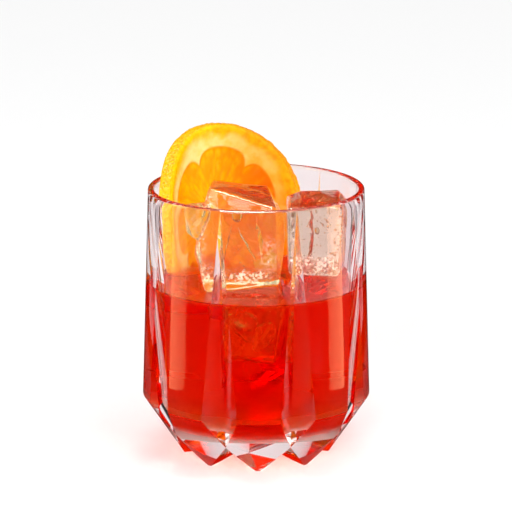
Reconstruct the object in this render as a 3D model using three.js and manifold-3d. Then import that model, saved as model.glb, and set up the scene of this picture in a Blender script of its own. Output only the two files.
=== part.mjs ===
// A negroni in its cut tumbler: the glass, the drink, three pieces of ice and a wheel of orange.
// Millimetres, +Z up. The origin is the middle of the base, on the surface the glass stands on,
// and the front of the drink faces -Y. Azimuths are counted from the front towards +X.
import * as THREE from 'three';
import { mergeVertices } from 'three/addons/utils/BufferGeometryUtils.js';
import { ConvexGeometry } from 'three/addons/geometries/ConvexGeometry.js';
import Module from 'manifold-3d';

// Outside of the glass
const glassHeight = 101.3;
const rimRadius = 39.9;
const widestRadius = 42.5;
const chamferHeight = 22.7;
const footRadius = 27.6;
const panelCount = 9;
const frontPanelTurn = 1.3;
const roundSteps = 90;

// The groove between two panels: a V whose valley runs straight from under the rim to a notch
const grooveTipHeight = 99.9;
const grooveTipRadius = 39.8;
const notchHeight = 10.7;
const notchRadius = 34.7;
const grooveHalfAngle = 46;
const grooveReach = 14;

// The star cut into the underside, with one ridge to each foot
const starRise = 2.2;
const footTrim = 0.8;
const starReach = 50;

// Inside of the glass
const wallAtRim = 2.3;
const lipDrop = 1;
const lipChamfer = 0.4;
const lipShoulder = 0.3;
const cavityFloor = 15.5;
const cavityCorner = 6;
const cavityCornerSteps = 4;
const cavityProfile = [[33.6, 22], [34.6, 36], [35.9, 51], [36.8, 65], [37.3, 84]];

// The drink and the gap that keeps neighbours apart
const drinkLevel = 65;
const gap = 0.3;

// The wheel of orange, pressed round against the wall at the back on the left
const wheelRadius = 34.9;
const wheelThickness = 5.2;
const wheelHeight = 83.6;
const wheelTurn = 29.5;
const wheelWallGap = 1.3;
const wheelBevel = 1.6;
const wheelBackBevel = 0.64;
const fleshRadius = 26.2;
const fleshDip = 0.5;
const fleshSlope = 1.5;
const lobeEdges = [-22, 35, 85, 134, 183, 233, 283];
const membraneWidth = 1.3;
const hubRadius = 3;
const wheelSteps = 72;
const wheelFaceRings = [3, 3.4, 8.5, 14.1, 19.2, 22.6, 25.5, 26.7];

// Ice: the outer corners of each piece, and the radius that melting has given them
const iceEdge = 1.6;
const iceCornerInset = 2.24;
const frontCube = [
  [-16.8, -18, 104], [-15.9, 0, 102.5], [4.1, 2, 100], [6.6, -26, 98.5],
  [-20.2, -20, 95.4], [-18.5, -1, 94], [10.5, -22, 95], [8.5, 1, 93],
  [-22.4, -21, 80], [-20.5, -3, 79], [10.6, -22, 86], [9.4, 0, 80],
  [-18, -24, 67.5], [8.1, -24, 69.5], [7, -2, 66.8], [-18, -3, 66.5],
];
const frontCubeChip = [
  [-25.5, -13, 98], [-17, -14, 98.8], [-17, -23, 98.8], [-25, -23.5, 98],
  [-24.6, -17, 87], [-19, -18, 84], [-22, -21.5, 86],
];
const backCube = [
  [11.4, 3, 97.5], [16.2, 8, 98], [31, 9.5, 98], [33.9, -3, 97.5], [30, -18.5, 97], [11.6, -17.5, 97],
  [12, -16.5, 71], [29, -17.5, 71], [33, -4, 69], [29, 9, 63.5], [16, 8, 63.5], [12, 0, 67],
];
const lowCube = [
  [-15, -22, 65.8], [-13, -4, 66], [9, -3, 65.6], [9.5, -24, 65.9],
  [-12, -21, 42], [-11, -5, 40.5], [6, -4, 40], [5.5, -22, 41],
];

// Finishes
const glassFinish = new THREE.MeshStandardMaterial({
  color: 0xeaf0f2, roughness: 0.02, metalness: 0, transparent: true, opacity: 0.3,
});
const drinkFinish = new THREE.MeshStandardMaterial({ color: 0xd9260a, roughness: 0.05, metalness: 0 });
const iceFinish = new THREE.MeshStandardMaterial({
  color: 0xf3d9c6, roughness: 0.08, metalness: 0, transparent: true, opacity: 0.6,
});
const orangeFinish = new THREE.MeshStandardMaterial({ color: 0xf6a21a, roughness: 0.45, metalness: 0 });

const wasm = await Module();
wasm.setup();

// A closed geometry as a solid that can be joined and cut
function solidOf(geometry) {
  const bare = geometry.clone();
  bare.deleteAttribute('normal');
  bare.deleteAttribute('uv');
  const merged = mergeVertices(bare, 1e-4);
  return new wasm.Manifold(new wasm.Mesh({
    numProp: 3,
    vertProperties: new Float32Array(merged.attributes.position.array),
    triVerts: new Uint32Array(merged.index.array),
  }));
}

function geometryOf(solid) {
  const mesh = solid.getMesh();
  const geometry = new THREE.BufferGeometry();
  geometry.setAttribute('position', new THREE.BufferAttribute(new Float32Array(mesh.vertProperties), 3));
  geometry.setIndex(new THREE.BufferAttribute(new Uint32Array(mesh.triVerts), 1));
  geometry.computeVertexNormals();
  return geometry;
}

// A lathe about the Z axis, from [radius, height] pairs that run up the outside
function turned(profile, steps) {
  const points = profile.map(([radius, height]) => new THREE.Vector2(radius, height));
  const geometry = new THREE.LatheGeometry(points, steps);
  geometry.rotateX(Math.PI / 2);
  return geometry;
}

// The inner wall's radius at a height, straight between the profile's points
function cavityRadius(height) {
  const stops = [...cavityProfile, [rimRadius - wallAtRim, glassHeight]];
  let radius = stops[0][0];
  for (let i = 1; i < stops.length; i += 1) {
    const [lowRadius, low] = stops[i - 1];
    const [highRadius, high] = stops[i];
    const share = THREE.MathUtils.clamp((height - low) / (high - low), 0, 1);
    if (height > low) radius = lowRadius + (highRadius - lowRadius) * share;
  }
  return radius;
}

// The rounded corner between the floor of the cavity and its wall, shrunk inwards by an inset
function cavityCornerProfile(inset) {
  const radius = cavityCorner - inset;
  const centreRadius = cavityProfile[0][0] - cavityCorner;
  const centreHeight = cavityFloor + cavityCorner;
  const points = [];
  for (let i = 0; i < cavityCornerSteps; i += 1) {
    const angle = (i / cavityCornerSteps) * Math.PI / 2;
    points.push([centreRadius + radius * Math.sin(angle), centreHeight - radius * Math.cos(angle)]);
  }
  return points;
}

// The V between two panels, as a long wedge with its edge on the valley
function grooveWedge(turn) {
  const slope = (grooveTipRadius - notchRadius) / (grooveTipHeight - notchHeight);
  const corners = [];
  for (const height of [-starReach, glassHeight + starReach]) {
    const valley = notchRadius + slope * (height - notchHeight);
    const side = grooveReach * Math.tan(THREE.MathUtils.degToRad(grooveHalfAngle));
    corners.push(new THREE.Vector3(0, -valley, height));
    corners.push(new THREE.Vector3(side, -valley - grooveReach, height));
    corners.push(new THREE.Vector3(-side, -valley - grooveReach, height));
  }
  const wedge = new ConvexGeometry(corners);
  wedge.rotateZ(THREE.MathUtils.degToRad(turn));
  return wedge;
}

// The folded underside: a drum whose top falls to a ridge under each foot and rises to each notch
function starCutter() {
  const drum = new THREE.CylinderGeometry(starReach, starReach, starReach, panelCount * 2, 1);
  drum.rotateX(Math.PI / 2);
  drum.translate(0, 0, -starReach / 2);
  drum.rotateZ(THREE.MathUtils.degToRad(frontPanelTurn));
  const ridge = starRise - (starRise + footTrim) * (starReach / footRadius);
  const valley = starRise + (notchHeight - starRise) * (starReach / notchRadius);
  const spot = drum.attributes.position;
  for (let i = 0; i < spot.count; i += 1) {
    if (spot.getZ(i) < -1) continue;
    const radius = Math.hypot(spot.getX(i), spot.getY(i));
    const azimuth = THREE.MathUtils.radToDeg(Math.atan2(spot.getX(i), -spot.getY(i)));
    const panels = (azimuth - frontPanelTurn) / (360 / panelCount);
    const onRidge = Math.abs(panels - Math.round(panels)) < 0.25;
    const edge = onRidge ? ridge : valley;
    spot.setZ(i, radius < 1 ? starRise : edge);
  }
  return drum;
}

function makeGlass() {
  const section = [
    [0, 0], [footRadius, 0], [widestRadius, chamferHeight], [rimRadius, glassHeight - lipDrop],
    [rimRadius - lipChamfer, glassHeight - lipShoulder], [rimRadius - wallAtRim / 2, glassHeight],
    [rimRadius - wallAtRim + lipChamfer, glassHeight - lipShoulder],
    [rimRadius - wallAtRim, glassHeight - lipDrop],
    ...[...cavityProfile].reverse(),
    ...cavityCornerProfile(0).reverse(),
    [0, cavityFloor],
  ];
  let glass = solidOf(turned(section, roundSteps));
  for (let i = 0; i < panelCount; i += 1) {
    const turn = frontPanelTurn + (i + 0.5) * (360 / panelCount);
    glass = glass.subtract(solidOf(grooveWedge(turn)));
  }
  return geometryOf(glass.subtract(solidOf(starCutter())));
}

// A block of ice: the hull of a ball inside each corner, so that every edge is rounded
function iceBlock(corners, grown) {
  const points = corners.map((corner) => new THREE.Vector3(...corner));
  const middle = points.reduce((sum, point) => sum.add(point), new THREE.Vector3());
  middle.divideScalar(points.length);
  const ball = new THREE.IcosahedronGeometry(iceEdge + grown, 1).attributes.position;
  const cloud = [];
  for (const point of points) {
    const inward = middle.clone().sub(point).setLength(iceCornerInset);
    for (let i = 0; i < ball.count; i += 1) {
      cloud.push(new THREE.Vector3().fromBufferAttribute(ball, i).add(point).add(inward));
    }
  }
  return new ConvexGeometry(cloud);
}

// How far a place on the cut face is raised: membranes and pith stand over the flesh
function fleshDepth(radius, degrees) {
  if (radius > fleshRadius || radius < hubRadius) return 0;
  let nearest = Infinity;
  for (const edge of lobeEdges) {
    const apart = Math.abs(((degrees - edge + 540) % 360) - 180);
    nearest = Math.min(nearest, radius * THREE.MathUtils.degToRad(apart));
  }
  const fromRind = fleshRadius - radius;
  const fromSide = nearest - membraneWidth / 2;
  const inside = Math.min(fromRind, fromSide, radius - hubRadius);
  return fleshDip * THREE.MathUtils.smoothstep(inside, 0, fleshSlope);
}

// The wheel, turned flat and then wrapped round the glass, grown on every side by an allowance
function orangeWheel(grown) {
  const half = wheelThickness / 2 + grown;
  const radius = wheelRadius + grown;
  const front = wheelFaceRings.map((ring) => [ring, -half]);
  const back = wheelFaceRings.map((ring) => [ring, half]).reverse();
  const profile = [[0, -half], ...front, [radius - wheelBevel, -half], [radius, -half + wheelBevel]];
  profile.push([radius, half - wheelBackBevel], [radius - wheelBackBevel, half], ...back, [0, half]);
  const wheel = turned(profile, wheelSteps);
  const spot = wheel.attributes.position;
  for (let i = 0; i < spot.count; i += 1) {
    const across = spot.getX(i);
    const upward = -spot.getY(i);
    const ring = Math.hypot(across, upward);
    const degrees = THREE.MathUtils.radToDeg(Math.atan2(across, upward));
    const side = Math.sign(spot.getZ(i));
    const towardsWall = spot.getZ(i) - side * fleshDepth(ring, degrees);
    const height = wheelHeight + upward;
    const wrapRadius = cavityRadius(Math.min(height, glassHeight)) - wheelWallGap - wheelThickness / 2;
    const turn = across / wrapRadius - THREE.MathUtils.degToRad(wheelTurn);
    const reach = wrapRadius + towardsWall;
    spot.setXYZ(i, reach * Math.sin(turn), reach * Math.cos(turn), height);
  }
  return wheel;
}

// The drink fills the cavity up to its level and closes round what stands in it
function makeDrink() {
  const wall = cavityProfile.filter(([, height]) => height < drinkLevel);
  const profile = [
    [0, cavityFloor + gap],
    ...cavityCornerProfile(gap),
    ...wall.map(([radius, height]) => [radius - gap, height]),
    [cavityRadius(drinkLevel) - gap, drinkLevel],
    [0, drinkLevel],
  ];
  let drink = solidOf(turned(profile, roundSteps));
  for (const sunk of [iceBlock(lowCube, gap), iceBlock(backCube, gap), orangeWheel(gap)]) {
    drink = drink.subtract(solidOf(sunk));
  }
  return geometryOf(drink);
}

function makeFrontIce() {
  return geometryOf(solidOf(iceBlock(frontCube, 0)).add(solidOf(iceBlock(frontCubeChip, 0))));
}

const negroni = new THREE.Group();
const pieces = [
  ['glass', makeGlass(), glassFinish],
  ['drink', makeDrink(), drinkFinish],
  ['ice_cube_front', makeFrontIce(), iceFinish],
  ['ice_cube_back', iceBlock(backCube, 0), iceFinish],
  ['ice_cube_low', iceBlock(lowCube, 0), iceFinish],
  ['orange_wheel', orangeWheel(0), orangeFinish],
];
for (const [name, geometry, finish] of pieces) {
  const mesh = new THREE.Mesh(geometry, finish);
  mesh.name = name;
  negroni.add(mesh);
}

export default negroni;
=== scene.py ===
# A negroni in its cut tumbler: the looks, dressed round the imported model.
# The front of the drink faces -Y, +Z is up. Sizes in the dictionaries are millimetres, azimuths are
# degrees from the front towards +X, and meshes are made in metres.
import math

import bmesh
import bpy
import numpy as np
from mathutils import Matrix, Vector, noise
from mathutils.bvhtree import BVHTree


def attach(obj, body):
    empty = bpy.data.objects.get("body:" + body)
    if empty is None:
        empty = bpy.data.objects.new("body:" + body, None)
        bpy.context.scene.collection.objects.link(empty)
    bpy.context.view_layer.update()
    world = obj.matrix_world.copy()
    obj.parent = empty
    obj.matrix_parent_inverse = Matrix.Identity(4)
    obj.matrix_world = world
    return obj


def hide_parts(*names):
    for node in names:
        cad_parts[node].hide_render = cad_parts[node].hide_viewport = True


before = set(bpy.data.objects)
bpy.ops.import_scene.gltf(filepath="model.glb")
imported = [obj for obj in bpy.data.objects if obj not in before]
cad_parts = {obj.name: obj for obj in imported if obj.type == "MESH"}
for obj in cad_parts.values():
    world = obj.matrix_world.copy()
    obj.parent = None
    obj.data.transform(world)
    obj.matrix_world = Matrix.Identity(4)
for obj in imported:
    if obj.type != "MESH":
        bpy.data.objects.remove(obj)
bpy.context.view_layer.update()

mm = 0.001
scene = bpy.context.scene
print("frame loaded:", sorted(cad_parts))


# Small helpers for meshes

def newPiece(name, spots, faces):
    mesh = bpy.data.meshes.new(name)
    mesh.from_pydata([tuple(value * mm for value in spot) for spot in spots], [], faces)
    mesh.update()
    piece = bpy.data.objects.new(name, mesh)
    scene.collection.objects.link(piece)
    return piece


def bakeModifiers(piece):
    depsgraph = bpy.context.evaluated_depsgraph_get()
    mesh = bpy.data.meshes.new_from_object(piece.evaluated_get(depsgraph))
    piece.modifiers.clear()
    old = piece.data
    piece.data = mesh
    mesh.name = piece.name
    bpy.data.meshes.remove(old)


def cutAway(piece, cutters):
    for cutter in cutters:
        cut = piece.modifiers.new("cut", "BOOLEAN")
        cut.operation = "DIFFERENCE"
        cut.solver = "EXACT"
        cut.object = cutter
    bakeModifiers(piece)
    for cutter in cutters:
        bpy.data.objects.remove(cutter)


def shadeSmooth(piece, sharpDegrees=None):
    piece.data.polygons.foreach_set("use_smooth", [True] * len(piece.data.polygons))
    if sharpDegrees:
        piece.data.set_sharp_from_angle(angle=math.radians(sharpDegrees))
    piece.data.update()


# Moves each vertex along its normal, by so many millimetres
def pushOut(piece, distances):
    count = len(piece.data.vertices)
    spots, normals = np.empty(count * 3), np.empty(count * 3)
    piece.data.vertices.foreach_get("co", spots)
    piece.data.vertex_normals.foreach_get("vector", normals)
    moved = spots.reshape(-1, 3) + normals.reshape(-1, 3) * distances[:, None] * mm
    piece.data.vertices.foreach_set("co", moved.ravel())
    piece.data.update()


# A closed lathe about the Z axis from (radius, height) pairs that run up the outside
def turned(profile, steps):
    spots, rings = [], []
    for radius, height in profile:
        if radius < 1e-6:
            rings.append([len(spots)] * steps)
            spots.append((0, 0, height))
            continue
        rings.append(list(range(len(spots), len(spots) + steps)))
        for step in range(steps):
            angle = 2 * math.pi * step / steps
            spots.append((radius * math.sin(angle), -radius * math.cos(angle), height))
    return spots, ringFaces(rings)


def ringFaces(rings):
    faces = []
    for low, high in zip(rings, rings[1:]):
        for step in range(len(low)):
            after = (step + 1) % len(low)
            corners = [low[step], low[after], high[after], high[step]]
            faces.append([c for i, c in enumerate(corners) if c not in corners[:i]])
    return faces


def dress(piece, slot, materials, *nodes):
    for material in materials:
        piece.data.materials.append(material)
    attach(piece, "root")
    if nodes:
        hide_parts(*nodes)
    print("made", piece.name, len(piece.data.vertices), "vertices")


# Small helpers for materials

def srgb(red, green, blue):
    channels = []
    for value in (red, green, blue):
        share = value / 255
        channels.append(share / 12.92 if share <= 0.04045 else ((share + 0.055) / 1.055) ** 2.4)
    return (*channels, 1.0)


def newMaterial(name):
    material = bpy.data.materials.new(name)
    material.use_nodes = True
    tree = material.node_tree
    return material, tree, tree.nodes["Principled BSDF"]


def addNode(tree, kind, settings=None, **inputs):
    node = tree.nodes.new(kind)
    for name, value in (settings or {}).items():
        setattr(node, name, value)
    for name, value in inputs.items():
        plug(tree, node, name, value)
    return node


def plug(tree, node, name, value):
    socket = node.inputs[int(name[1:])] if name[0] == "_" and name[1:].isdigit() else node.inputs[name]
    if isinstance(value, bpy.types.NodeSocket):
        tree.links.new(value, socket)
    else:
        socket.default_value = value


def attribute(tree, name, output="Fac"):
    return addNode(tree, "ShaderNodeAttribute", {"attribute_name": name}).outputs[output]


def calculate(tree, operation, first, second=0.0):
    return addNode(tree, "ShaderNodeMath", {"operation": operation}, _0=first, _1=second).outputs[0]


def mapped(tree, value, fromLow, fromHigh, toLow=0.0, toHigh=1.0):
    node = addNode(tree, "ShaderNodeMapRange", {"interpolation_type": "SMOOTHSTEP"}, Value=value)
    ends = {"From Min": fromLow, "From Max": fromHigh, "To Min": toLow, "To Max": toHigh}
    for name, number in ends.items():
        node.inputs[name].default_value = number
    return node.outputs["Result"]


def blended(tree, share, first, second):
    node = addNode(tree, "ShaderNodeMix", {"data_type": "RGBA"})
    plug(tree, node, "_0", share)
    plug(tree, node, "_6", first)
    plug(tree, node, "_7", second)
    return node.outputs[2]


def noiseAt(tree, scale, detail=2.0, where=None, roughness=0.5):
    node = addNode(tree, "ShaderNodeTexNoise", Scale=scale, Detail=detail, Roughness=roughness)
    place = where or addNode(tree, "ShaderNodeTexCoord").outputs["Object"]
    tree.links.new(place, node.inputs["Vector"])
    return node.outputs["Fac"]


def bumped(tree, height, strength, distance, normal=None):
    node = addNode(tree, "ShaderNodeBump", Height=height, Strength=strength, Distance=distance)
    if normal:
        tree.links.new(normal, node.inputs["Normal"])
    return node.outputs["Normal"]


# The camera, floor and studio come first

camera = {
    "spot": (-0.06, -925.8, 316.9),
    "downward": 14.667,
    "focalPixels": 2578.7,
    "imageWidth": 512,
}

studio = {
    "floorColour": (0.89, 0.89, 0.89, 1),
    "floorGrain": (0.88, 0.88, 0.88, 1),
    "floorRadius": 9000,
    "backLight": 1.02,
    "frontLight": 0.55,
    "topLight": 0.7,
}

# name, middle, what it faces, width, height, watts, colour, whether soft surfaces see it
softBoxes = [
    ("sideBoxLeft", (-150, -36, 80), (0, -36, 80), 53, 160, 0.3, (1, 0.5, 0.22), False),
    ("sideBoxRight", (150, -30, 80), (0, -30, 80), 50, 160, 0.3, (1, 0.5, 0.22), False),
    ("keyLight", (-380, -900, 460), (0, 0, 70), 400, 400, 6, (1, 1, 1), True),
    ("fillLight", (600, -500, 600), (0, 0, 50), 600, 600, 1.5, (1, 1, 1), True),
    ("topBox", (-60, -150, 520), (0, 0, 80), 300, 260, 12, (1, 0.9, 0.78), False),
]

sun = {"strength": 1.1, "spread": 70, "tilt": (12, 20, 0)}

# Black cards to the left and right draw the dark lines along the cuts. Only mirrored and refracted rays see
# them, and they fade to white at their edges, so that their outline doesn't show in the glass.
cards = {
    "aside": 158,
    "height": 220,
    "fade": 0.14,        # as a share of the card
    # name, side, front and back end, with a gap where a camera at the side looks through
    "ends": [
        ("blackCardLeft", -1, 80, 160), ("blackCardRight", 1, -170, -80), ("blackCardBehind", 1, 80, 160),
    ],
}


def makeCamera():
    lens = bpy.data.cameras.new("camera")
    lens.sensor_width = 36
    lens.lens = camera["focalPixels"] / camera["imageWidth"] * lens.sensor_width
    lens.clip_start = 0.01
    lens.clip_end = 50
    viewer = bpy.data.objects.new("camera", lens)
    viewer.location = Vector(camera["spot"]) * mm
    viewer.rotation_euler = (math.radians(90 - camera["downward"]), 0, 0)
    scene.collection.objects.link(viewer)
    bpy.context.scene.camera = viewer


def makeFloor():
    radius = studio["floorRadius"]
    steps = 64
    rim = [(radius * math.cos(2 * math.pi * i / steps), radius * math.sin(2 * math.pi * i / steps), 0)
           for i in range(steps)]
    floor = newPiece("floor", rim, [list(range(steps))])
    material, tree, shader = newMaterial("paleFloor")
    grain = noiseAt(tree, 180.0)
    plug(tree, shader, "Base Color", blended(tree, grain, studio["floorColour"], studio["floorGrain"]))
    shader.inputs["Roughness"].default_value = 0.9
    shader.inputs["Specular IOR Level"].default_value = 0.1
    floor.data.materials.append(material)
    floor.visible_glossy = False      # the room stays out of the reflections, as a black tent keeps it out


def makeCards():
    for name, side, front, back in cards["ends"]:
        spots = [(side * cards["aside"], y, z) for y in (front, back) for z in (1, cards["height"])]
        card = newPiece(name, spots, [[0, 1, 3, 2]])
        material, tree, shader = newMaterial(name)
        felt = blended(tree, noiseAt(tree, 40.0), (0.01, 0.01, 0.012, 1), (0.03, 0.03, 0.035, 1))
        place = addNode(tree, "ShaderNodeSeparateXYZ")
        tree.links.new(addNode(tree, "ShaderNodeTexCoord").outputs["Generated"], place.inputs[0])
        fromEdge = [calculate(tree, "PINGPONG", place.outputs[axis], 0.5) for axis in ("Y", "Z")]
        fade = mapped(tree, calculate(tree, "MINIMUM", *fromEdge), 0.0, cards["fade"])
        plug(tree, shader, "Base Color", blended(tree, fade, studio["floorColour"], felt))
        card.data.materials.append(material)
        card.visible_camera = card.visible_diffuse = card.visible_shadow = False


def makeStudio():
    world = bpy.data.worlds.new("studio")
    scene.world = world
    world.use_nodes = True
    world.cycles_visibility.glossy = False
    tree = world.node_tree
    sky = tree.nodes["Background"]
    aim = addNode(tree, "ShaderNodeSeparateXYZ")
    tree.links.new(addNode(tree, "ShaderNodeTexCoord").outputs["Generated"], aim.inputs[0])
    behind = mapped(tree, aim.outputs["Y"], -0.5, 0.35, studio["frontLight"], studio["backLight"])
    above = mapped(tree, aim.outputs["Z"], 0.3, 0.8)
    level = addNode(tree, "ShaderNodeMix", {"data_type": "FLOAT"}, Factor=above)
    tree.links.new(behind, level.inputs["A"])
    level.inputs["B"].default_value = studio["topLight"]
    tree.links.new(level.outputs[0], sky.inputs["Strength"])
    sky.inputs["Color"].default_value = (1, 1, 1, 1)
    for name, spot, aimed, width, height, watts, colour, lightsAll in softBoxes:
        lamp = bpy.data.lights.new(name, "AREA")
        lamp.shape = "RECTANGLE"
        lamp.size = width * mm
        lamp.size_y = height * mm
        lamp.energy = watts
        lamp.color = colour
        box = bpy.data.objects.new(name, lamp)
        box.location = Vector(spot) * mm
        box.rotation_euler = (Vector(aimed) - Vector(spot)).to_track_quat("-Z", "Y").to_euler()
        box.visible_camera = False
        box.visible_diffuse = box.visible_transmission = lightsAll
        scene.collection.objects.link(box)
    daylight = bpy.data.lights.new("softSun", "SUN")
    daylight.energy = sun["strength"]
    daylight.angle = math.radians(sun["spread"])
    lamp = bpy.data.objects.new("softSun", daylight)
    lamp.rotation_euler = [math.radians(turn) for turn in sun["tilt"]]
    scene.collection.objects.link(lamp)
    scene.view_settings.view_transform = "Standard"
    scene.view_settings.look = "None"
    cycles = scene.cycles
    cycles.max_bounces = 48
    cycles.transmission_bounces = 48
    cycles.glossy_bounces = 16
    cycles.diffuse_bounces = 4
    cycles.transparent_max_bounces = 16
    cycles.caustics_reflective = True
    cycles.caustics_refractive = True
    cycles.blur_glossy = 0.3
    cycles.sample_clamp_indirect = 12
    cycles.volume_bounces = 4
    cycles.use_denoising = True


makeCamera()
makeFloor()
makeCards()
makeStudio()
print("camera, floor and studio made")


# The tumbler

tumbler = {
    "height": 101.3,
    "rimRadius": 39.9,
    "widestRadius": 42.5,
    "chamferHeight": 22.7,
    "footRadius": 27.6,
    "panels": 9,
    "frontPanelTurn": 1.3,
    "steps": 360,
    "grooveTip": (39.8, 99.9),      # radius and height where a valley starts
    "notch": (34.7, 10.7),          # and where it ends
    "grooveHalfAngle": 46,
    "grooveReach": 14,
    "starRise": 2.2,
    "footTrim": 0.8,
    "starReach": 50,
    "lipDrop": 1.0,
    "cavityFloor": 15.5,
    "cavityCorner": 6.0,
    "wallCurve": [(33.6, 22), (34.6, 36), (35.9, 51), (36.8, 65), (37.3, 84), (37.6, 101.3)],
    "refraction": 1.5,
    "wetRefraction": 1.36,          # below the real 1.5, which lays a pale veil over the drink in the grooves
    # painted light: clear glass has no colour, and this pinkish grey stands in for the drink's red and the
    # studio's shade seen in the glass
    "tint": (0.88, 0.78, 0.79, 1),
    "rimTint": (0.86, 0.74, 0.68, 1),     # painted reflection: the lip's tint stands in for the colours of what stands in the glass, which the lip gathers
    "rimBlend": (99.5, 100.8),            # heights between which the wall's tint and gloss turn into the lip's painted tint and full gloss
    "gloss": 0.05,                  # the studio before the glass is darker than a pale floor makes it
    "wetGloss": 0.0,                # where drink touches the wall, next to nothing is reflected
}

wallFit = np.polynomial.Polynomial.fit(
    [height for radius, height in tumbler["wallCurve"]],
    [radius for radius, height in tumbler["wallCurve"]], 3)


def cavityRadius(height):
    lowest = tumbler["wallCurve"][0][1]
    return float(wallFit(min(max(height, lowest), tumbler["height"])))


# The inside from the middle of its floor up to a height, moved outwards by a reach
def cavityProfile(top, reach, steps):
    corner = tumbler["cavityCorner"]
    startRadius = cavityRadius(0)
    middleRadius = startRadius - corner
    middleHeight = tumbler["cavityFloor"] + corner
    profile = [(0, tumbler["cavityFloor"] - reach)]
    for share in np.linspace(0.15, 1, 6):
        profile.append((middleRadius * share, tumbler["cavityFloor"] - reach))
    for angle in np.radians(np.arange(10, 90, 10)):
        profile.append((middleRadius + (corner + reach) * math.sin(angle),
                        middleHeight - (corner + reach) * math.cos(angle)))
    for height in np.linspace(tumbler["wallCurve"][0][1], top, steps):
        profile.append((cavityRadius(height) + reach, height))
    return profile


def grooveWedge(turn):
    (tipRadius, tipHeight), (notchRadius, notchHeight) = tumbler["grooveTip"], tumbler["notch"]
    slope = (tipRadius - notchRadius) / (tipHeight - notchHeight)
    reach = tumbler["grooveReach"]
    side = reach * math.tan(math.radians(tumbler["grooveHalfAngle"]))
    cosine, sine = math.cos(math.radians(turn)), math.sin(math.radians(turn))
    spots = []
    for height in (-tumbler["starReach"], tumbler["height"] + tumbler["starReach"]):
        valley = notchRadius + slope * (height - notchHeight)
        for across, out in ((0, valley), (side, valley + reach), (-side, valley + reach)):
            spots.append((across * cosine + out * sine, across * sine - out * cosine, height))
    return newPiece("grooveWedge", spots, [[0, 1, 2], [3, 5, 4], [0, 3, 4, 1], [1, 4, 5, 2], [2, 5, 3, 0]])


# The folded underside: it falls to a ridge under each foot and rises to each notch
def starCutter():
    reach, rise = tumbler["starReach"], tumbler["starRise"]
    notchRadius, notchHeight = tumbler["notch"]
    ridge = rise - (rise + tumbler["footTrim"]) * reach / tumbler["footRadius"]
    valley = rise + (notchHeight - rise) * reach / notchRadius
    spots = [(0, 0, rise), (0, 0, -reach)]
    corners = tumbler["panels"] * 2
    for corner in range(corners):
        angle = math.radians(tumbler["frontPanelTurn"] + 360 * corner / corners)
        edge = valley if corner % 2 else ridge
        for height in (edge, -reach):
            spots.append((reach * math.sin(angle), -reach * math.cos(angle), height))
    faces = []
    for corner in range(corners):
        top, low = 2 + corner * 2, 3 + corner * 2
        nextTop, nextLow = 2 + (corner + 1) % corners * 2, 3 + (corner + 1) % corners * 2
        faces += [[0, top, nextTop], [1, nextLow, low], [low, nextLow, nextTop, top]]
    return newPiece("starCutter", spots, faces)


def makeTumbler(wetTo):
    spec = tumbler
    profile = [(0, 0), (spec["footRadius"], 0)]
    for share in np.linspace(0.25, 1, 4):
        profile.append((spec["footRadius"] + (spec["widestRadius"] - spec["footRadius"]) * share,
                        spec["chamferHeight"] * share))
    lipHeight = spec["height"] - spec["lipDrop"]
    for share in np.linspace(0, 1, 13)[1:]:
        profile.append((spec["widestRadius"] + (spec["rimRadius"] - spec["widestRadius"]) * share,
                        spec["chamferHeight"] + (lipHeight - spec["chamferHeight"]) * share))
    halfWall = (spec["rimRadius"] - cavityRadius(lipHeight)) / 2
    for angle in np.radians(np.arange(15, 180, 15)):
        profile.append((spec["rimRadius"] - halfWall + halfWall * math.cos(angle),
                        lipHeight + spec["lipDrop"] * math.sin(angle)))
    dry = [(cavityRadius(height), height) for height in np.linspace(lipHeight, wetTo, 12)[:-1]]
    profile += dry + list(reversed(cavityProfile(wetTo, 0, 14)))
    glass = newPiece("tumblerGlass", *turned(profile, spec["steps"]))
    turns = [spec["frontPanelTurn"] + (i + 0.5) * 360 / spec["panels"] for i in range(spec["panels"])]
    cutAway(glass, [grooveWedge(turn) for turn in turns] + [starCutter()])
    shadeSmooth(glass, 22)
    for face in glass.data.polygons:
        middle = face.center / mm
        inCavity = math.hypot(middle.x, middle.y) < cavityRadius(middle.z) + 0.3
        face.material_index = int(inCavity and spec["cavityFloor"] - 0.5 < middle.z < wetTo)
    return glass


def glassMaterial(name, gloss, refraction, withLip):
    material, tree, shader = newMaterial(name)
    # the base colour is the painted tint of the glass
    shader.inputs["Base Color"].default_value = tumbler["tint"]
    shader.inputs["Specular Tint"].default_value = (gloss, gloss, gloss, 1)
    if withLip:
        place = addNode(tree, "ShaderNodeSeparateXYZ")
        tree.links.new(addNode(tree, "ShaderNodeTexCoord").outputs["Object"], place.inputs[0])
        lip = mapped(tree, place.outputs["Z"], *(height * mm for height in tumbler["rimBlend"]))
        # at the lip the painted rim tint takes over from the painted tint of the glass
        plug(tree, shader, "Base Color", blended(tree, lip, tumbler["tint"], tumbler["rimTint"]))
        plug(tree, shader, "Specular Tint", blended(tree, lip, (gloss, gloss, gloss, 1), (1, 1, 1, 1)))
    shader.inputs["Roughness"].default_value = 0
    shader.inputs["IOR"].default_value = refraction
    shader.inputs["Transmission Weight"].default_value = 1
    waves = noiseAt(tree, 60.0)      # fire polish leaves the faces very slightly wavy
    plug(tree, shader, "Normal", bumped(tree, waves, 0.05, 0.0004))
    return material


# Ice

iceLook = {
    "edge": 1.6,
    "voxel": 0.5,
    "refraction": 1.31,
    "cloudColour": (1, 0.8, 0.4, 1),
    "frostColour": (1, 0.98, 0.86, 1),
    "frostWhite": 0.8,           # share of the light that full frost scatters
    "frostRoughness": 0.75,
    "waveHeight": 0.35,
    "waveLength": 9.0,
    "rippleLength": 2.4,
    "crackGap": 0.05,
}

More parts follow.
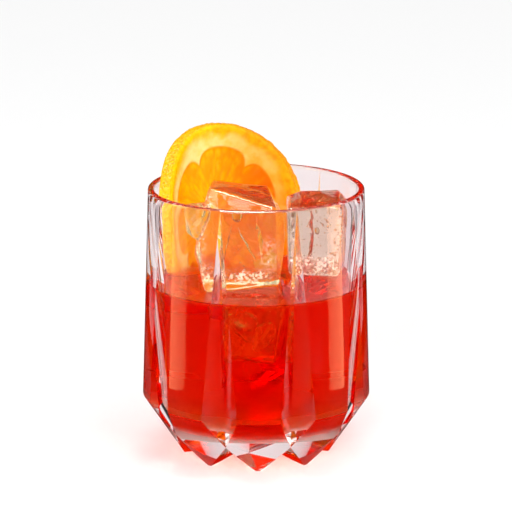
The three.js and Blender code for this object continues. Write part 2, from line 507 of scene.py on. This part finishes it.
# For each block: its outer corners, frosty places (middle, reach, strength), swarms of bubbles
# (middle, reach, how many, smallest and largest radius), cracks (middle, long axis, second axis)
iceFrontSpec = {
    "seed": 1,
    "tint": (0.85, 0.85, 0.5, 1),    # painted light: the tint stands in for the drink and the orange glowing through the ice
    "ripple": 0.08,
    "cloud": 5.0,
    "corners": [[
        (-17.2, -18, 105.2), (-16.2, 0, 103.7), (4.4, 2.4, 101.2), (7, -26.4, 99.5),
        (-20.2, -20, 95.4), (-18.5, -1, 94), (10.5, -22, 95), (8.5, 1, 93),
        (-22.4, -21, 80), (-20.5, -3, 79), (10.6, -22, 86), (9.4, 0, 80),
        (-18, -24, 66.6), (8.1, -24, 68.6), (7, -2, 65.9), (-18, -3, 65.6),
    ], [
        (-25.5, -13, 98), (-17, -14, 98.8), (-17, -23, 98.8), (-25, -23.5, 98),
        (-24.6, -17, 87), (-19, -18, 84), (-22, -21.5, 86),
    ]],
    "frost": [
        ((-4, -24, 73.3), (12, 6, 3.4), 0.8), ((1.7, -24, 73.6), (2.6, 4, 3), 1.0),
        ((-18, -21, 73), (4.5, 6, 7.5), 0.55), ((-15, -24, 67.6), (5, 5, 2.2), 0.9),
        ((-22, -18, 93), (5, 7, 8), 0.4), ((-17, -20, 100), (2.2, 5, 5), 0.7),
        ((4.5, -23, 82), (5, 5, 10), 0.45), ((-20, -21, 86), (3, 5, 12), 0.4),
    ],
    "swarms": [
        ((-6.4, -20, 81.5), (2.5, 3, 2), 5, 0.15, 0.5), ((-5.5, -20, 77.5), (3, 3, 1.5), 6, 0.12, 0.4),
        ((0, -21, 72.5), (10, 3, 2), 40, 0.1, 0.4), ((2, -14, 96), (9, 8, 3), 12, 0.1, 0.35),
        ((-15, -22, 69), (3, 2, 2), 14, 0.12, 0.4),
    ],
    "bubbles": [((-6.7, -21.4, 94.3), (1.9, 0.7, 1.9))],
    "cracks": [
        ((-9.5, -14, 83.3), (-1.5, 0, -6.2), (0.3, 4, -1)), ((-3.3, -14, 83.3), (2.6, 0, -5.4), (0.5, 4, -1)),
        ((1.5, -13, 84), (0.5, 0, -6.5), (-0.5, 4, -1)),
        ((-11.5, -17, 76), (-0.8, 0, -3.5), (0.3, 3, -0.8)),
    ],
}
iceBackSpec = {
    "seed": 2,
    # painted light: the warm tint stands in for the drink and the orange glowing through the ice
    "tint": (0.86, 0.8, 0.66, 1),
    "ripple": 0.06,
    "cloud": 3.0,
    "corners": [[
        (11.4, 3, 97.5), (16.2, 8, 98), (31, 9.5, 98), (33.9, -3, 97.5), (30, -18.5, 97), (11.6, -17.5, 97),
        (12, -16.5, 71), (29, -17.5, 71), (33, -4, 69), (29, 9, 63.5), (16, 8, 63.5), (12, 0, 67),
    ]],
    "frost": [
        ((24, -18, 75), (12, 7, 5.5), 0.8), ((24, -18, 71), (12, 7, 2.4), 1.0),
        ((29.5, -15, 86), (4, 7, 10), 0.5), ((13, -17, 84), (3, 5, 12), 0.4),
    ],
    "swarms": [
        ((29.5, -13, 84), (3.5, 5, 12), 90, 0.12, 0.6), ((20, -12.5, 86), (9, 6, 12), 70, 0.1, 0.32),
        ((25, -12, 91), (8, 6, 5), 40, 0.1, 0.4), ((21, -13, 74), (14, 5, 4), 90, 0.12, 0.6),
    ],
    "bubbles": [((22, -15.2, 88), (0.9, 0.6, 1.4))],
    "cracks": [],
}
iceLowSpec = {
    "seed": 3,
    "tint": (1, 1, 1, 1),
    "ripple": 0.1,
    "cloud": 6.0,
    "corners": [[
        (-15, -22, 65.8), (-13, -4, 66), (9, -3, 65.6), (9.5, -24, 65.9),
        (-12, -21, 42), (-11, -5, 40.5), (6, -4, 40), (5.5, -22, 41),
    ]],
    "frost": [],
    "swarms": [((-3, -19, 60), (9, 3, 4), 30, 0.1, 0.4)],
    "bubbles": [],
    "cracks": [((-3, -14, 54), (5, 1, -3), (1, 4, 4)), ((2, -14, 50), (1, 1, 5), (3, 3, 0))],
}


# A block with every corner melted round: the hull of a ball inside each corner
def iceHull(corners):
    hull = bmesh.new()
    middle = sum((Vector(c) for c in corners), Vector()) / len(corners)
    for corner in corners:
        inward = (middle - Vector(corner)).normalized() * iceLook["edge"] * 1.4
        ball = bmesh.ops.create_icosphere(hull, subdivisions=2, radius=iceLook["edge"])
        bmesh.ops.translate(hull, verts=ball["verts"], vec=Vector(corner) + inward)
    bmesh.ops.delete(hull, geom=list(hull.faces), context="FACES_ONLY")
    bmesh.ops.delete(hull, geom=list(hull.edges), context="EDGES_FACES")
    result = bmesh.ops.convex_hull(hull, input=hull.verts)
    inside = [v for v in result["geom_interior"] + result["geom_unused"] if isinstance(v, bmesh.types.BMVert)]
    bmesh.ops.delete(hull, geom=list(set(inside)), context="VERTS")
    hull.verts.index_update()
    spots = [tuple(v.co) for v in hull.verts]
    faces = [[v.index for v in face.verts] for face in hull.faces]
    hull.free()
    return spots, faces


def iceBlock(name, spec):
    spots, faces = [], []
    for corners in spec["corners"]:
        hullSpots, hullFaces = iceHull(corners)
        faces += [[i + len(spots) for i in face] for face in hullFaces]
        spots += hullSpots
    block = newPiece(name, spots, faces)
    remesh = block.modifiers.new("remesh", "REMESH")
    remesh.mode = "VOXEL"
    remesh.voxel_size = iceLook["voxel"] * mm
    relax = block.modifiers.new("relax", "SMOOTH")
    relax.factor = 0.5
    relax.iterations = 4
    bakeModifiers(block)
    pushes = []
    for vertex in block.data.vertices:
        spot = vertex.co / mm + Vector((spec["seed"] * 37.0, 0, 0))
        wave = noise.noise(spot / iceLook["waveLength"]) * iceLook["waveHeight"]
        ripple = noise.noise(spot / iceLook["rippleLength"]) * spec["ripple"]
        pushes.append(wave + ripple - 0.1)
    pushOut(block, np.array(pushes))
    shadeSmooth(block)
    return block


# One hollow inside the ice: a ball pulled into shape, with its faces turned inside out
def hollow(detail, shape):
    ball = bmesh.new()
    bmesh.ops.create_icosphere(ball, subdivisions=detail, radius=1)
    bmesh.ops.reverse_faces(ball, faces=ball.faces)
    ball.verts.index_update()
    spots = [tuple(shape(v.co.copy())) for v in ball.verts]
    faces = [[v.index for v in face.verts] for face in ball.faces]
    ball.free()
    return spots, faces


def crackShape(middle, longAxis, secondAxis):
    longAxis, secondAxis = Vector(longAxis), Vector(secondAxis)
    across = longAxis.cross(secondAxis).normalized()

    def shape(spot):
        ragged = 1 + 0.35 * noise.noise(spot * 2.0 + Vector(middle))
        bend = 0.5 * noise.noise(Vector((spot.x, spot.y, 0)) * 1.6 + Vector(middle))
        flat = Vector(middle) + (longAxis * spot.x + secondAxis * spot.y) * ragged
        return flat + across * (spot.z * iceLook["crackGap"] + bend)
    return shape


def hollowsFor(spec):
    luck = np.random.default_rng(spec["seed"])
    made = []
    for middle, reach in spec["bubbles"]:
        made.append(hollow(3, lambda v: Vector(middle) + Vector(a * b for a, b in zip(v, reach))))
    for middle, longAxis, secondAxis in spec["cracks"]:
        made.append(hollow(4, crackShape(middle, longAxis, secondAxis)))
    for middle, reach, count, smallest, largest in spec["swarms"]:
        for place in luck.normal(0, 0.5, (count, 3)):
            radius = smallest + (largest - smallest) * luck.random() ** 2
            spot = Vector(middle) + Vector(a * b for a, b in zip(place, reach))
            made.append(hollow(2, lambda v: spot + v * radius))
    return made


# Frost on the outside as a share from 0 to 1, then the hollows. One is kept if every fifth of its points is
# inside the block.
def finishIce(block, spec):
    skin = BVHTree.FromObject(block, bpy.context.evaluated_depsgraph_get())
    frost = []
    for vertex in block.data.vertices:
        spot = vertex.co / mm
        share = 0.0
        for middle, reach, strength in spec["frost"]:
            away = math.sqrt(sum(((a - b) / c) ** 2 for a, b, c in zip(spot, middle, reach)))
            share = max(share, strength * min(max(1.6 - 1.6 * away, 0), 1))
        grain = noise.noise(spot / 1.1) + 0.6 * noise.noise(spot / 3.5)
        frost.append(min(max(share * (0.75 + 0.9 * grain), 0), 1))
    whole = bmesh.new()
    whole.from_mesh(block.data)
    layer = whole.verts.layers.float.new("frost")
    for vertex, share in zip(whole.verts, frost):
        vertex[layer] = share
    for spots, faces in hollowsFor(spec):
        if not all(wellInside(skin, Vector(spot) * mm) for spot in spots[::5]):
            continue
        corners = [whole.verts.new(Vector(spot) * mm) for spot in spots]
        for face in faces:
            whole.faces.new([corners[i] for i in face])
    whole.to_mesh(block.data)
    whole.free()
    shadeSmooth(block)


def wellInside(skin, spot):
    nearest, normal, index, distance = skin.find_nearest(spot)
    return distance > 0.15 * mm and (spot - nearest).dot(normal) < 0


# The room that a block takes up in the drink, a little smaller than the block so that no air shows
def roomFor(block, inset):
    room = block.copy()
    room.data = block.data.copy()
    scene.collection.objects.link(room)
    pushOut(room, np.full(len(room.data.vertices), -inset))
    return room


def iceMaterial(name, spec):
    material, tree, shader = newMaterial(name)
    shader.inputs["IOR"].default_value = iceLook["refraction"]
    frost = attribute(tree, "frost")
    crystals = mapped(tree, noiseAt(tree, 900.0, 3.0), 0.38, 0.62)
    white = calculate(tree, "MULTIPLY", frost, crystals)
    # A tint other than white is painted light: the glow of the drink and the orange through the ice. Frost
    # turns it white.
    plug(tree, shader, "Base Color", blended(tree, white, spec["tint"], iceLook["frostColour"]))
    patches = mapped(tree, noiseAt(tree, 90.0, 3.0), 0.58, 0.74, 0.0, 0.1)
    scattered = calculate(tree, "MULTIPLY", white, iceLook["frostWhite"])
    plug(tree, shader, "Transmission Weight", calculate(tree, "SUBTRACT", 1.0, scattered))
    rough = calculate(tree, "MULTIPLY", white, iceLook["frostRoughness"])
    plug(tree, shader, "Roughness", calculate(tree, "ADD", patches, rough))
    cloud = tree.nodes.new("ShaderNodeVolumeScatter")      # fine air frozen in
    cloud.inputs["Color"].default_value = iceLook["cloudColour"]
    cloud.inputs["Density"].default_value = spec["cloud"]
    tree.links.new(cloud.outputs[0], tree.nodes["Material Output"].inputs["Volume"])
    normal = bumped(tree, noiseAt(tree, 420.0, 2.0), 0.12, 0.0006)
    normal = bumped(tree, calculate(tree, "MULTIPLY", frost, noiseAt(tree, 1500.0, 2.0)), 0.6, 0.0005, normal)
    plug(tree, shader, "Normal", normal)
    return material


# The wheel of orange

orange = {
    "radius": 34.9,
    "thickness": 5.2,
    "height": 83.6,
    "turn": 29.5,
    "wallGap": 1.3,
    "frontBevel": 1.6,
    "backBevel": 0.64,
    "fleshRadius": 26.9,
    "fleshDip": 0.35,
    "lobeEdges": [-22, 35, 85, 134, 183, 233, 283],
    "cuspDepth": 4.9,
    "cuspWidth": 2.2,
    "hub": 3.0,
    "steps": 480,
    "skinPore": 0.34,
    "skinPoreSize": 1.3,
}


# How far a place on the cut face is inside the scalloped outline of the flesh
def fleshInside(ring, degrees):
    nearest = min(abs((degrees - edge + 540) % 360 - 180) for edge in orange["lobeEdges"])
    fromEdge = ring * math.sin(math.radians(min(nearest, 90)))
    outline = orange["fleshRadius"] - orange["cuspDepth"] * math.exp(-fromEdge / orange["cuspWidth"])
    return min(outline - ring, ring - orange["hub"])


def makeOrangeWheel():
    spec = orange
    half = spec["thickness"] / 2
    face = [0.9, 1.8, 2.6] + list(np.arange(3.4, spec["radius"] - spec["frontBevel"] - 0.2, 0.55))
    profile = [(0, -half)] + [(ring, -half) for ring in face]
    for angle in np.radians(np.arange(0, 91, 15)):
        bevel = spec["frontBevel"]
        profile.append((spec["radius"] - bevel + bevel * math.sin(angle),
                        -half + bevel - bevel * math.cos(angle)))
    for depth in np.linspace(-half + spec["frontBevel"], half - spec["backBevel"], 8)[1:]:
        profile.append((spec["radius"], depth))
    for angle in np.radians(np.arange(30, 91, 30)):
        bevel = spec["backBevel"]
        profile.append((spec["radius"] - bevel + bevel * math.cos(angle),
                        half - bevel + bevel * math.sin(angle)))
    profile += [(ring, half) for ring in reversed(face)] + [(0, half)]
    steps = spec["steps"]
    spots, rings, flat = [], [], []
    for ring, depth in profile:
        count = steps if ring > 0 else 1
        rings.append([len(spots) + (i if ring > 0 else 0) for i in range(steps)])
        for step in range(count):
            turn = 2 * math.pi * step / steps
            radius = ring
            degrees = math.degrees(turn)
            inside = fleshInside(ring, degrees)
            relief = spec["fleshDip"] * min(max(inside / 1.5, 0), 1)
            if inside > 0:
                sac = noise.noise(Vector((ring / 3.2, degrees / 4.0, depth)))
                relief += 0.2 * sac * min(inside / 1.5, 1)
            side = 1 if depth > 0 else -1
            depthNow = depth - side * (relief if abs(depth) > half - 0.01 else 0)
            rind = min(max((ring - spec["radius"] + 2.2) / 2.2, 0), 1)
            place = Vector((ring * math.sin(turn), ring * math.cos(turn), depth))
            pore = noise.noise(place / spec["skinPoreSize"]) + 0.5 * noise.noise(place / 4.0)
            radius += rind * spec["skinPore"] * pore
            across, upward = radius * math.sin(turn), radius * math.cos(turn)
            height = spec["height"] + upward
            wrap = cavityRadius(height) - spec["wallGap"] - half
            azimuth = across / wrap - math.radians(spec["turn"])
            reach = wrap + depthNow
            spots.append((reach * math.sin(azimuth), reach * math.cos(azimuth), height))
            flat.append((ring, turn, depth, inside))
    wheel = newPiece("orangeWheel", spots, ringFaces(rings))
    flat = np.array(flat)
    onFace = np.abs(flat[:, 2]) > half - 0.01
    values = {
        "skin": np.where(onFace, 0.0, np.clip(((flat[:, 2] + half) / spec["frontBevel"] - 0.3) / 0.5, 0, 1)),
        "flesh": np.clip(flat[:, 3] / 0.6 + 0.3, 0, 1) * onFace,
        "lobeRim": np.exp(-((flat[:, 3] - 0.5) / 0.7) ** 2) * onFace,
        "ring": flat[:, 0] / spec["radius"],
        "across": np.sin(flat[:, 1]) * flat[:, 0] / spec["radius"],
    }
    for name, numbers in values.items():
        layer = wheel.data.attributes.new(name, "FLOAT", "POINT")
        layer.data.foreach_set("value", numbers.astype(np.float32))
    grain = wheel.data.attributes.new("grain", "FLOAT_VECTOR", "POINT")
    turnNow = np.minimum(flat[:, 1], 2 * math.pi - flat[:, 1])
    sideways = turnNow * 9.0 + (flat[:, 1] > math.pi) * 40      # the two halves take different grain
    numbers = np.stack([flat[:, 0] / 4.5, sideways, np.full(len(flat), 3.0)], 1)
    grain.data.foreach_set("vector", numbers.astype(np.float32).ravel())
    shadeSmooth(wheel, 60)
    return wheel


def orangeMaterial():
    material, tree, shader = newMaterial("orangeFleshAndSkin")
    across = attribute(tree, "across")
    ring = attribute(tree, "ring")
    grain = attribute(tree, "grain", "Vector")
    sacs = addNode(tree, "ShaderNodeTexVoronoi", {"feature": "F1"}, Scale=1.0, Randomness=1.0)
    tree.links.new(grain, sacs.inputs["Vector"])
    threads = noiseAt(tree, 1.6, 4.0, grain)
    # Painted light and shade: every colour of the wheel runs from lit yellow on the left to shaded deep
    # orange on the right, as the light falls on it.
    paintedShadeToRight = mapped(tree, across, -0.3, 0.62)
    light = blended(tree, paintedShadeToRight, srgb(250, 192, 0), srgb(250, 136, 0))
    deep = blended(tree, paintedShadeToRight, srgb(250, 166, 0), srgb(248, 108, 0))
    flesh = blended(tree, mapped(tree, sacs.outputs["Distance"], 0.15, 0.8), light, deep)
    flesh = blended(tree, mapped(tree, threads, 0.4, 0.8), flesh, deep)
    rim = blended(tree, paintedShadeToRight, srgb(250, 158, 0), srgb(246, 118, 0))
    flesh = blended(tree, calculate(tree, "MULTIPLY", attribute(tree, "lobeRim"), 0.6), flesh, rim)
    mottle = mapped(tree, noiseAt(tree, 240.0, 4.0), 0.35, 0.75)
    patches = mapped(tree, noiseAt(tree, 110.0, 3.0), 0.4, 0.65)
    pale = blended(tree, paintedShadeToRight, srgb(250, 232, 148), srgb(240, 184, 88))
    tan = blended(tree, paintedShadeToRight, srgb(248, 212, 94), srgb(238, 160, 42))
    pith = blended(tree, mottle, pale, tan)
    # The tan patches fade out towards the lit left, as part of the same painted light and shade.
    pith = blended(tree, calculate(tree, "MULTIPLY", patches, mapped(tree, across, -0.45, 0.1)), pith, tan)
    gold = blended(tree, paintedShadeToRight, srgb(250, 200, 0), srgb(248, 164, 6))
    goldDeep = blended(tree, paintedShadeToRight, srgb(248, 178, 0), srgb(244, 140, 4))
    rind = blended(tree, mapped(tree, noiseAt(tree, 420.0, 3.0), 0.35, 0.7), gold, goldDeep)
    outer = calculate(tree, "ADD", ring, calculate(tree, "MULTIPLY", patches, 0.05))
    pith = blended(tree, mapped(tree, outer, 0.84, 0.97), pith, rind)
    skinLight = blended(tree, paintedShadeToRight, srgb(246, 184, 18), srgb(246, 156, 8))
    skinDeep = blended(tree, paintedShadeToRight, srgb(238, 152, 4), srgb(240, 134, 2))
    pores = addNode(tree, "ShaderNodeTexVoronoi", {"feature": "F1"}, Scale=900.0)
    tree.links.new(addNode(tree, "ShaderNodeTexCoord").outputs["Object"], pores.inputs["Vector"])
    skin = blended(tree, mapped(tree, pores.outputs["Distance"], 0.1, 0.6), skinDeep, skinLight)
    colour = blended(tree, attribute(tree, "flesh"), pith, flesh)
    colour = blended(tree, attribute(tree, "skin"), colour, skin)
    plug(tree, shader, "Base Color", colour)
    wet = mapped(tree, noiseAt(tree, 300.0), 0.3, 0.7, 0.25, 0.45)
    plug(tree, shader, "Roughness", wet)
    shader.inputs["Specular IOR Level"].default_value = 0.06
    shader.inputs["Subsurface Weight"].default_value = 0.3
    shader.inputs["Subsurface Radius"].default_value = (1.0, 0.5, 0.1)
    shader.inputs["Subsurface Scale"].default_value = 0.002
    pits = calculate(tree, "MULTIPLY", pores.outputs["Distance"], attribute(tree, "skin"))
    normal = bumped(tree, pits, 0.6, 0.0006)
    juicy = calculate(tree, "MULTIPLY", sacs.outputs["Distance"], attribute(tree, "flesh"))
    normal = bumped(tree, juicy, 0.35, 0.0006, normal)
    plug(tree, shader, "Normal", normal)
    return material


# The drink

drink = {
    "level": 65.0,
    "reach": 0.08,                       # how far it goes into the wall and the ice, so no air gap shows
    "wallRise": 1.1,                     # how high it climbs the wall and the ice
    "wallRiseReach": 0.9,
    "iceRise": 0.9,
    "steps": 360,
    "refraction": 1.345,
    "absorption": (2.5, 84.0, 205.0),    # red, green and blue, for each metre
    "topGloss": (0.7, 0.4, 0.0, 1),
    "cloud": 5.0,
    "cloudColour": (1, 0.12, 0.02, 1),
    "cloudForward": 0.4,
    "murk": 0.4,
    "murkHeights": (30, 18),             # it starts at the first and is full at the second
}


def makeDrink(standing):
    spec = drink
    profile = cavityProfile(spec["level"], spec["reach"], 14)
    wall = profile[-1][0]
    highest = spec["level"] + spec["wallRise"]
    profile.append((cavityRadius(highest) + spec["reach"], highest))
    firstTop = len(profile)
    inwards = list(np.arange(0.25, 4, 0.25)) + list(np.arange(4, wall - 1, 0.8))
    for inward in inwards:
        rise = spec["wallRise"] * math.exp(-inward / spec["wallRiseReach"])
        profile.append((wall - inward, spec["level"] + rise))
    profile.append((0, spec["level"]))
    spots, faces = turned(profile, spec["steps"])
    topStart = sum(spec["steps"] if radius > 0 else 1 for radius, height in profile[:firstTop])
    depsgraph = bpy.context.evaluated_depsgraph_get()
    trees = [BVHTree.FromObject(piece, depsgraph) for piece in standing]
    for index in range(topStart, len(spots)):
        spot = Vector(spots[index])
        near = min(t.find_nearest(spot * mm)[3] for t in trees) / mm
        rise = spec["iceRise"] * math.exp(-near / spec["wallRiseReach"])
        spots[index] = (spot.x, spot.y, max(spot.z, spec["level"] + rise))
    liquid = newPiece("negroni", spots, faces)
    cutAway(liquid, [roomFor(piece, spec["reach"]) for piece in standing if piece.name.startswith("ice")])
    shadeSmooth(liquid, 40)
    return liquid


def drinkMaterial():
    material, tree, shader = newMaterial("negroniRed")
    shader.inputs["Base Color"].default_value = (1, 1, 1, 1)
    shader.inputs["IOR"].default_value = drink["refraction"]
    shader.inputs["Transmission Weight"].default_value = 1
    density = max(drink["absorption"])
    body = tree.nodes.new("ShaderNodeVolumeAbsorption")
    body.inputs["Color"].default_value = (*(1 - value / density for value in drink["absorption"]), 1)
    body.inputs["Density"].default_value = density
    cloud = tree.nodes.new("ShaderNodeVolumeScatter")      # juice and oils make it a little cloudy
    cloud.inputs["Color"].default_value = drink["cloudColour"]
    cloud.inputs["Density"].default_value = drink["cloud"]
    cloud.inputs["Anisotropy"].default_value = drink["cloudForward"]
    both = addNode(tree, "ShaderNodeAddShader", None, _0=body.outputs[0], _1=cloud.outputs[0])
    tree.links.new(both.outputs[0], tree.nodes["Material Output"].inputs["Volume"])
    swirl = noiseAt(tree, 50.0)
    plug(tree, shader, "Normal", bumped(tree, swirl, 0.04, 0.0004))
    place = addNode(tree, "ShaderNodeSeparateXYZ")
    tree.links.new(addNode(tree, "ShaderNodeTexCoord").outputs["Object"], place.inputs[0])
    level = drink["level"] * mm      # only the open top reflects: its sides lie against glass and ice
    openTop = mapped(tree, place.outputs["Z"], level - 0.0004, level - 0.0001)
    plug(tree, shader, "Specular Tint", blended(tree, openTop, (0, 0, 0, 1), drink["topGloss"]))
    murkStart, murkEnd = (height * mm for height in drink["murkHeights"])
    murk = mapped(tree, place.outputs["Z"], murkStart, murkEnd, 0.0, drink["murk"])
    plug(tree, shader, "Roughness", murk)      # the floor is blurred by cut glass and pulp
    return material


iceFront = iceBlock("iceFront", iceFrontSpec)
iceBack = iceBlock("iceBack", iceBackSpec)
iceLow = iceBlock("iceLow", iceLowSpec)
print("ice shaped")
wheel = makeOrangeWheel()
print("orange shaped")
liquid = makeDrink([iceBack, iceLow, wheel])
glass = makeTumbler(drink["level"])
for block, spec in ((iceFront, iceFrontSpec), (iceBack, iceBackSpec), (iceLow, iceLowSpec)):
    finishIce(block, spec)
print("ice finished")

dryGlass = glassMaterial("clearGlass", tumbler["gloss"], tumbler["refraction"], True)
wetGlass = glassMaterial("wetGlass", tumbler["wetGloss"], tumbler["wetRefraction"], False)
dress(glass, "glass", [dryGlass, wetGlass], "glass")
glass.visible_shadow = False      # its bright caustics are traced, so it doesn't shade what it holds as well
dress(liquid, "drink", [drinkMaterial()], "drink")
dress(iceFront, "ice", [iceMaterial("hazyIce", iceFrontSpec)], "ice_cube_front")
dress(iceBack, "ice", [iceMaterial("clearIce", iceBackSpec)], "ice_cube_back")
dress(iceLow, "ice", [iceMaterial("cloudyIce", iceLowSpec)], "ice_cube_low")
dress(wheel, "orange", [orangeMaterial()], "orange_wheel")
